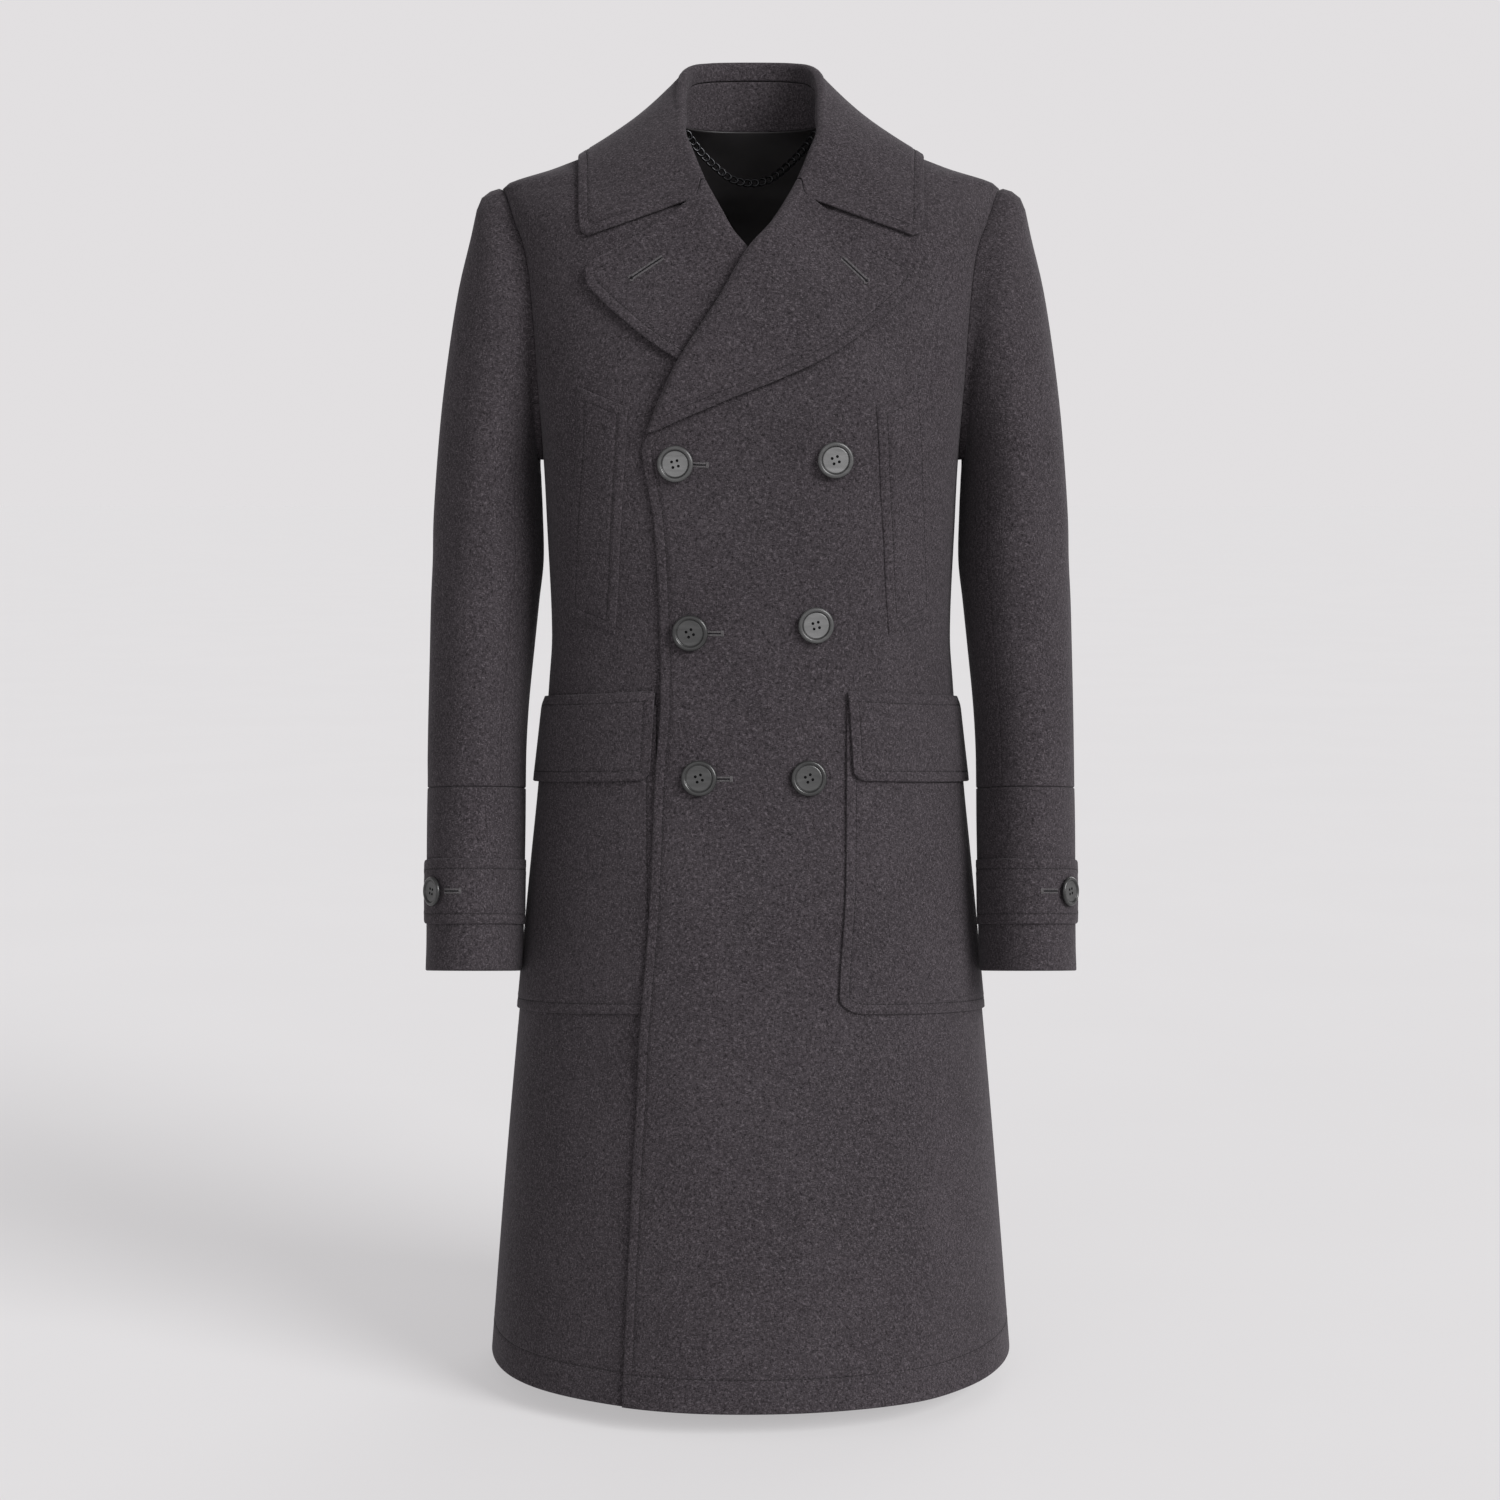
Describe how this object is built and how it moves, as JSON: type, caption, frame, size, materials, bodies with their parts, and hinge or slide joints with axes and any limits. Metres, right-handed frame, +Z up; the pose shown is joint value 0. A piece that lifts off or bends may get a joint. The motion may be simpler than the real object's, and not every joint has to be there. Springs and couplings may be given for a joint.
{
  "type": "double-breasted coat",
  "caption": "Hip-to-thigh length double-breasted wool coat, filled out and hollow, with turned-down collar, broad lapels, flapped patch pockets and strapped cuffs.",
  "frame": {"origin": "middle of the base of the neck, where the wearer's neck and shoulders hold the coat", "axes": "+Z up, +X to the wearer's left, the buttoned front faces -Y"},
  "size_m": [0.5622, 0.3791, 1.1243],
  "materials": {
    "wool": "brushed wool melton",
    "lining": "satin",
    "horn_button": "polished horn",
    "dark_steel": "blackened"
  },
  "bodies": {
    "root": {"front_left": "wool", "back_left": "wool", "lapel_left": "wool", "sleeve_top_left": "wool", "sleeve_under_left": "wool", "cuff_left": "wool", "cuff_strap_left": "wool", "pocket_left": "wool", "pocket_flap_left": "wool", "chest_welt_left": "wool", "cuff_button_left": "horn_button", "front_right": "wool", "back_right": "wool", "lapel_right": "wool", "sleeve_top_right": "wool", "sleeve_under_right": "wool", "cuff_right": "wool", "cuff_strap_right": "wool", "pocket_right": "wool", "pocket_flap_right": "wool", "chest_welt_right": "wool", "cuff_button_right": "horn_button", "collar_stand": "wool", "collar_fall": "wool", "back_lining": "lining", "front_button_1": "horn_button", "front_button_2": "horn_button", "front_button_3": "horn_button", "front_button_4": "horn_button", "front_button_5": "horn_button", "front_button_6": "horn_button", "hanger_chain": "dark_steel"}
  },
  "joints": []
}
